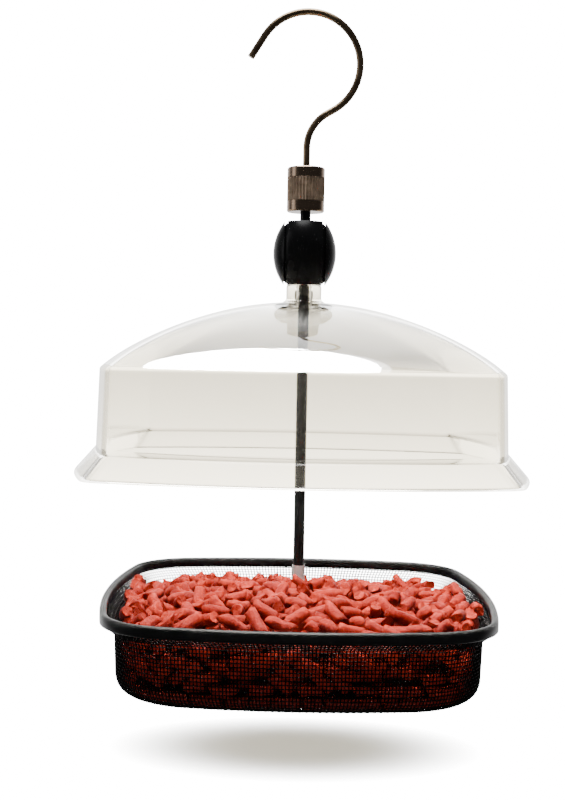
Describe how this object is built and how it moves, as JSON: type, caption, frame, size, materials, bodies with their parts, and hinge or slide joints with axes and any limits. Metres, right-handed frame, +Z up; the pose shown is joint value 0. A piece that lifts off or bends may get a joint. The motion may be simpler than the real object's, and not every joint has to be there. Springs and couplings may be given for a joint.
{
  "type": "hanging bird feeder",
  "caption": "Hanging bird feeder: a square wire-mesh tray full of suet pellets on a rod, under a clear dome that turns and slides on a squeeze lock, with a hook that swivels.",
  "frame": {"origin": "on the inside of the hook's bow, at its crown, where a branch or bracket carries the feeder", "axes": "+Z is up along the rod, the hook's bow lies in the XZ plane and its mouth opens towards -X, the front is towards -Y"},
  "size_m": [0.1726, 0.1726, 0.2605],
  "materials": {
    "bronze_wire": "dark antique bronze, satin",
    "bronze_turned": "antique bronze, turned, with a knurled middle",
    "plated_steel": "pale plating",
    "black_metal": "black satin coating",
    "black_mesh": "black coated wire mesh",
    "black_plastic": "glossy black moulding",
    "clear_plastic": "clear moulding with a faint warm tint",
    "suet": "coral red suet pellets, rough and waxy"
  },
  "bodies": {
    "hook": {"hook": "bronze_wire"},
    "frame": {"collar_upper_cap": "bronze_turned", "collar_sleeve": "bronze_turned", "collar_lower_cap": "bronze_turned", "swivel_washer": "plated_steel", "rod_nut": "plated_steel", "rod": "black_metal", "tray_post": "plated_steel", "tray_rim": "black_metal", "tray_basket": "black_mesh", "base_plate": "plated_steel", "base_disc": "plated_steel", "base_screw": "plated_steel", "feed": "suet"},
    "lock": {"lock_body": "black_plastic", "neck_clip": "plated_steel", "lock_spring_left": "plated_steel", "lock_spring_right": "plated_steel"},
    "button_left": {"lock_button_left": "black_plastic"},
    "button_right": {"lock_button_right": "black_plastic"},
    "dome": {"dome": "clear_plastic"}
  },
  "joints": [
    {"name": "hook_swivel", "type": "hinge", "parent": "hook", "child": "frame", "pos_m": [0, 0, -0.0639], "axis": [0, 0, 1], "continuous": true},
    {"name": "dome_height", "type": "slide", "parent": "frame", "child": "lock", "axis": [0, 0, 1], "range_m": [-0.0451, 0.0033]},
    {"name": "press_left", "type": "slide", "parent": "lock", "child": "button_left", "axis": [1, 0, 0], "range_m": [0, 0.0011], "stiffness_N_per_m": 2000, "springref_m": -0.001, "deforming": ["lock_spring_left"]},
    {"name": "press_right", "type": "slide", "parent": "lock", "child": "button_right", "axis": [-1, 0, 0], "range_m": [0, 0.0011], "stiffness_N_per_m": 2000, "springref_m": -0.001, "deforming": ["lock_spring_right"]},
    {"name": "dome_turn", "type": "hinge", "parent": "lock", "child": "dome", "pos_m": [0, 0, -0.10507], "axis": [0, 0, 1], "continuous": true}
  ]
}
